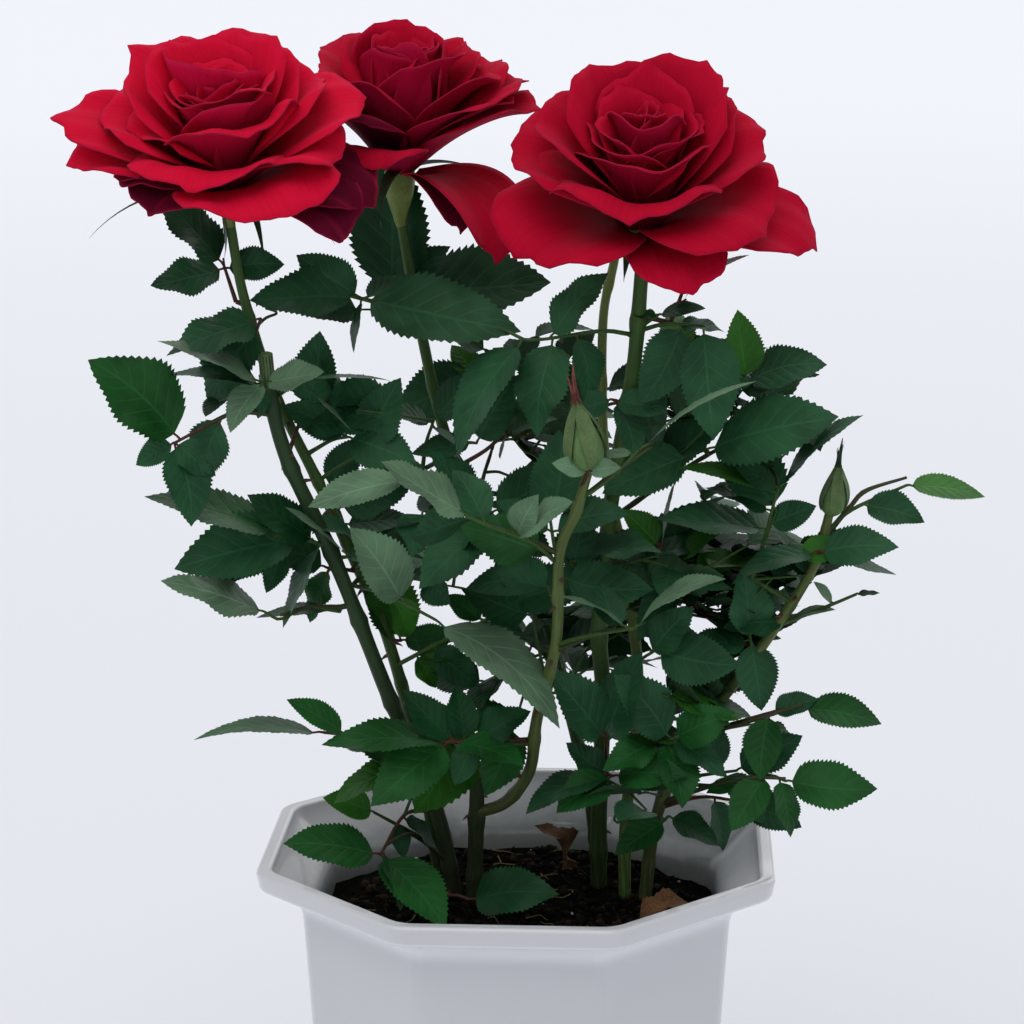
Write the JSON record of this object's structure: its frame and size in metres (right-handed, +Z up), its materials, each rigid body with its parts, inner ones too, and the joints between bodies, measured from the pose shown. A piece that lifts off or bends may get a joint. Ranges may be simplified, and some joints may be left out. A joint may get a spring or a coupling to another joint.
{
  "type": "rose bush in a pot",
  "caption": "Potted patio rose: eight-sided glazed pot with a flared rim, canes, dense serrated leaves, open red blooms and green buds.",
  "frame": {"origin": "centre of the pot's flat underside, at the level it stands on", "axes": "+Z up through the pot's middle; +X to the right and -Y towards the viewer when the plant is seen from the front; the pot's flats face the axes"},
  "size_m": [0.2278, 0.1355, 0.3141],
  "materials": {
    "glaze": "white glazed ceramic, glossy",
    "soil": "moist peat potting mix, matt",
    "cane": "green to red-brown rose canes, satin",
    "bud": "green calyx and bud, satin",
    "petal": "velvety crimson petals",
    "leaf": "dark green serrated leaves, satin"
  },
  "bodies": {
    "root": {"pot_wall": "glaze", "pot_rim": "glaze", "soil": "soil", "stem_left": "cane", "stem_left_bloom": "cane", "stem_cut": "cane", "stem_front": "cane", "stem_centre": "cane", "stem_right_bloom": "cane", "stem_pale": "cane", "stem_right": "cane", "bough_left_out": "cane", "bough_left_mid": "cane", "bough_left_low": "cane", "bough_front_left": "cane", "bough_front_right": "cane", "bough_front_upper": "cane", "bough_left_pot": "cane", "bough_right_low": "cane", "bough_right_pot": "cane", "bough_right_tip": "cane", "bough_right_upper": "cane", "bough_back_upper": "cane", "bough_back_low": "cane", "calyx_left": "bud", "calyx_centre": "bud", "calyx_right": "bud", "bud_front": "bud", "bud_right": "bud", "bloom_left": "petal", "bloom_centre": "petal", "bloom_right": "petal", "petals_left_drooping": "petal", "petal_centre_hanging": "petal", "petal_right_side": "petal", "foliage_left_top": "leaf", "foliage_left_upper": "leaf", "foliage_left_out": "leaf", "foliage_left_mid": "leaf", "foliage_centre_left_upper": "leaf", "foliage_centre_upper": "leaf", "foliage_centre_left": "leaf", "foliage_right_upper": "leaf", "foliage_right_out": "leaf", "foliage_right_mid": "leaf", "foliage_right_tip": "leaf", "foliage_centre_mid": "leaf", "foliage_centre_right": "leaf", "foliage_centre_low": "leaf", "foliage_right_low": "leaf", "foliage_left_low": "leaf", "foliage_left_low_tip": "leaf", "foliage_front_low": "leaf", "foliage_right_low_spray": "leaf", "foliage_pot_left": "leaf", "foliage_back_upper": "leaf", "foliage_back_mid": "leaf", "foliage_back_low": "leaf", "foliage_front_left": "leaf", "foliage_front_right": "leaf"}
  },
  "joints": []
}
